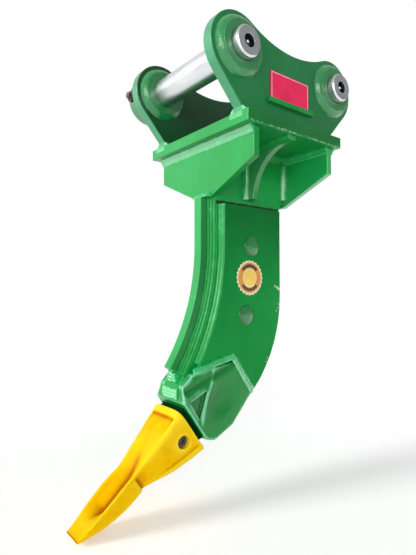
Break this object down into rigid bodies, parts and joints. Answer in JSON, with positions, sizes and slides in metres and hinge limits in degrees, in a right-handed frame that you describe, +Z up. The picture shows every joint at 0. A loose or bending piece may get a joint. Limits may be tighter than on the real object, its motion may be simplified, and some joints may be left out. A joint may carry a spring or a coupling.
{
  "type": "excavator ripper shank tooth",
  "caption": "Welded excavator ripper: two-ear pin hitch on a gusseted base, curved laminated shank with a wear bar, and a pinned chisel tooth on a cast nose.",
  "frame": {"origin": "middle of the front hitch pin's axis, midway between the two ears", "axes": "+X along the hitch pins to the side with the grease nipples, +Y to the rear hitch pin, +Z up; the tooth points to -Y and down"},
  "size_m": [0.309, 0.509, 0.8013],
  "materials": {
    "green_paint": "glossy green enamel over plate steel",
    "weld_paint": "glossy green enamel over rippled weld",
    "green_cast": "green enamel over cast steel",
    "pin_steel": "ground and hardened",
    "dark_steel": "black oxide",
    "plate_red": "printed sheet, bare of words",
    "tooth_yellow": "yellow enamel over cast steel",
    "seal_paper": "printed film, bare of words"
  },
  "bodies": {
    "root": {"ear_right": "green_paint", "ear_left": "green_paint", "boss_front_right": "green_paint", "boss_front_left": "green_paint", "boss_rear_right": "green_paint", "boss_rear_left": "green_paint", "front_pin": "pin_steel", "rear_pin": "pin_steel", "grease_nipples": "pin_steel", "pin_lock_bolts": "dark_steel", "pin_lock_washers": "dark_steel", "pin_lock_nuts": "dark_steel", "name_plate": "plate_red", "plate_ledge": "green_paint", "base_plate": "green_paint", "front_gusset": "green_paint", "rear_gusset": "green_paint", "rib_right": "green_paint", "rib_left": "green_paint", "shank_core": "green_paint", "wear_bar": "green_paint", "cheek_right": "green_paint", "cheek_left": "green_paint", "plug_welds": "weld_paint", "nose_adapter": "green_cast", "tooth": "tooth_yellow", "tooth_pin": "dark_steel", "tooth_retainer": "dark_steel", "boss_welds": "weld_paint", "ear_welds": "weld_paint", "gusset_welds": "weld_paint", "rib_welds": "weld_paint", "bar_welds": "weld_paint", "cheek_welds": "weld_paint", "back_welds": "weld_paint", "strap_welds": "weld_paint", "nose_welds": "weld_paint", "seal_label": "seal_paper"}
  },
  "joints": []
}
